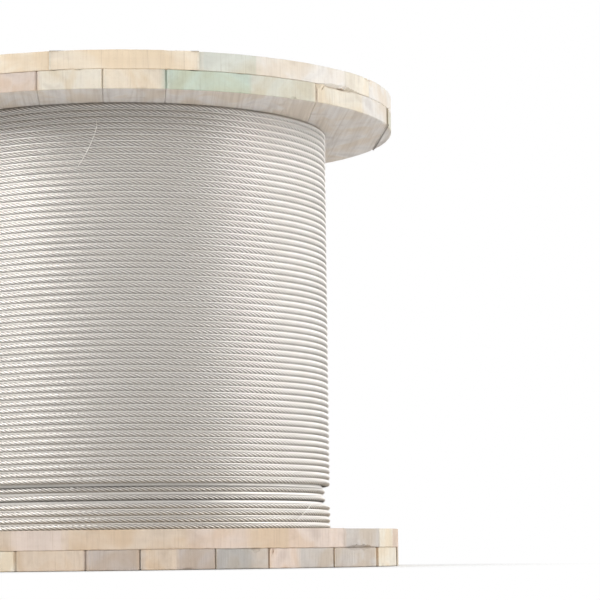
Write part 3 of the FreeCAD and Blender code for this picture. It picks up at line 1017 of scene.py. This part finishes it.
def white_to_the_camera(s, lit, strength_where):
    """The lit surface, but plain white where the camera, a reflection or a refraction sees it."""
    light_path = s.nodes.new("ShaderNodeLightPath")
    seen = s.math("MAXIMUM", light_path.outputs["Is Camera Ray"], light_path.outputs["Is Glossy Ray"])
    seen = s.math("MAXIMUM", seen, light_path.outputs["Is Transmission Ray"])
    white = s.nodes.new("ShaderNodeEmission")
    white.inputs["Strength"].default_value = 1.0
    mixed = s.nodes.new("ShaderNodeMixShader")
    s.feed(mixed.inputs[0], s.math("MULTIPLY", seen, strength_where))
    s.links.new(lit, mixed.inputs[1])
    s.links.new(white.outputs[0], mixed.inputs[2])
    return mixed.outputs[0]


def make_floor():
    """A pale floor that keeps the reel's shadow and fades to plain white further out."""
    body = bmesh.new()
    bmesh.ops.create_circle(body, cap_ends=True, segments=96, radius=FLOOR_RADIUS)
    mesh = bpy.data.meshes.new("floor")
    body.to_mesh(mesh)
    body.free()
    floor = bpy.data.objects.new("floor", mesh)
    floor.location = (0, 0, -0.5 * MM)
    bpy.context.scene.collection.objects.link(floor)
    s = Shader("pale_floor")
    s.surface.inputs["Base Color"].default_value = (0.86, 0.86, 0.86, 1)
    s.surface.inputs["Roughness"].default_value = 0.9
    place = s.split(s.place())
    away = s.math("SQRT", s.math("ADD", s.math("POWER", place[0], 2.0), s.math("POWER", place[1], 2.0)))
    far = s.levels(away, *FLOOR_FADE)
    out = s.nodes["Material Output"]
    s.links.new(white_to_the_camera(s, s.surface.outputs[0], far), out.inputs["Surface"])
    mesh.materials.append(s.material)


def make_world():
    """White to the camera, to reflections and to refractions, and a weaker white light to the rest."""
    world = bpy.data.worlds.new("studio")
    bpy.context.scene.world = world
    world.use_nodes = True
    nodes, links = world.node_tree.nodes, world.node_tree.links
    background = nodes["Background"]
    light_path = nodes.new("ShaderNodeLightPath")
    seen = nodes.new("ShaderNodeMath")
    seen.operation = "MAXIMUM"
    links.new(light_path.outputs["Is Camera Ray"], seen.inputs[0])
    links.new(light_path.outputs["Is Glossy Ray"], seen.inputs[1])
    also = nodes.new("ShaderNodeMath")
    also.operation = "MAXIMUM"
    links.new(seen.outputs[0], also.inputs[0])
    links.new(light_path.outputs["Is Transmission Ray"], also.inputs[1])
    level = nodes.new("ShaderNodeMapRange")
    level.inputs["To Min"].default_value = WORLD_LIGHT
    level.inputs["To Max"].default_value = 1.0
    links.new(also.outputs[0], level.inputs[0])
    background.inputs["Color"].default_value = (1, 1, 1, 1)
    links.new(level.outputs[0], background.inputs["Strength"])


def make_lamp(name, place, size, power, on_metal_only=False):
    """A rectangular soft light that faces the middle of the reel."""
    light = bpy.data.lights.new(name, "AREA")
    light.shape = "RECTANGLE"
    light.size, light.size_y = size
    light.energy = power
    lamp = bpy.data.objects.new(name, light)
    lamp.location = place
    lamp.rotation_euler = (Vector((0, 0, HEIGHT / 2)) - Vector(place)).to_track_quat("-Z", "Y").to_euler()
    lamp.visible_diffuse = not on_metal_only
    bpy.context.scene.collection.objects.link(lamp)


def make_lights():
    """Soft lamps all round. The two reflectors show only in reflections, which the metal has most of."""
    make_lamp("left_softbox", (-2.4, -1.3, 1.9), (1.4, 1.6), 30)
    make_lamp("right_softbox", (2.6, -1.2, 1.1), (1.4, 1.8), 27)
    make_lamp("front_fill", (0.2, -3.6, 1.9), (2.4, 1.4), 20)
    make_lamp("back_fill", (0.3, 3.4, 2.2), (2.6, 1.6), 26)
    make_lamp("right_reflector", (2.1, 0.65, 0.45), (3.0, 2.0), 42, on_metal_only=True)
    make_lamp("left_reflector", (-2.1, -1.0, 1.7), (2.0, 1.2), 42, on_metal_only=True)


def main():
    bpy.context.scene.view_settings.view_transform = "Standard"
    make_camera()
    make_world()
    make_floor()
    make_lights()

    wood = board_material()
    hardware = hardware_material()
    surfaces = {}
    for ply, facts in PLIES.items():
        for number in range(1, facts["boards"] + 1):
            piece = make_board(ply, number, facts["turned"], wood)
            heights = [corner[2] for corner in piece.bound_box]
            surfaces["%s_board_%d" % (ply, number)] = (min(heights), max(heights))
    make_rope(rope_material())
    make_nails("nails_top", "top_outer", "top_inner", True, surfaces, hardware)
    make_nails("nails_bottom", "bottom_outer", "bottom_inner", False, surfaces, hardware)
    dress_nodes(hardware, rough_wood_material())


main()
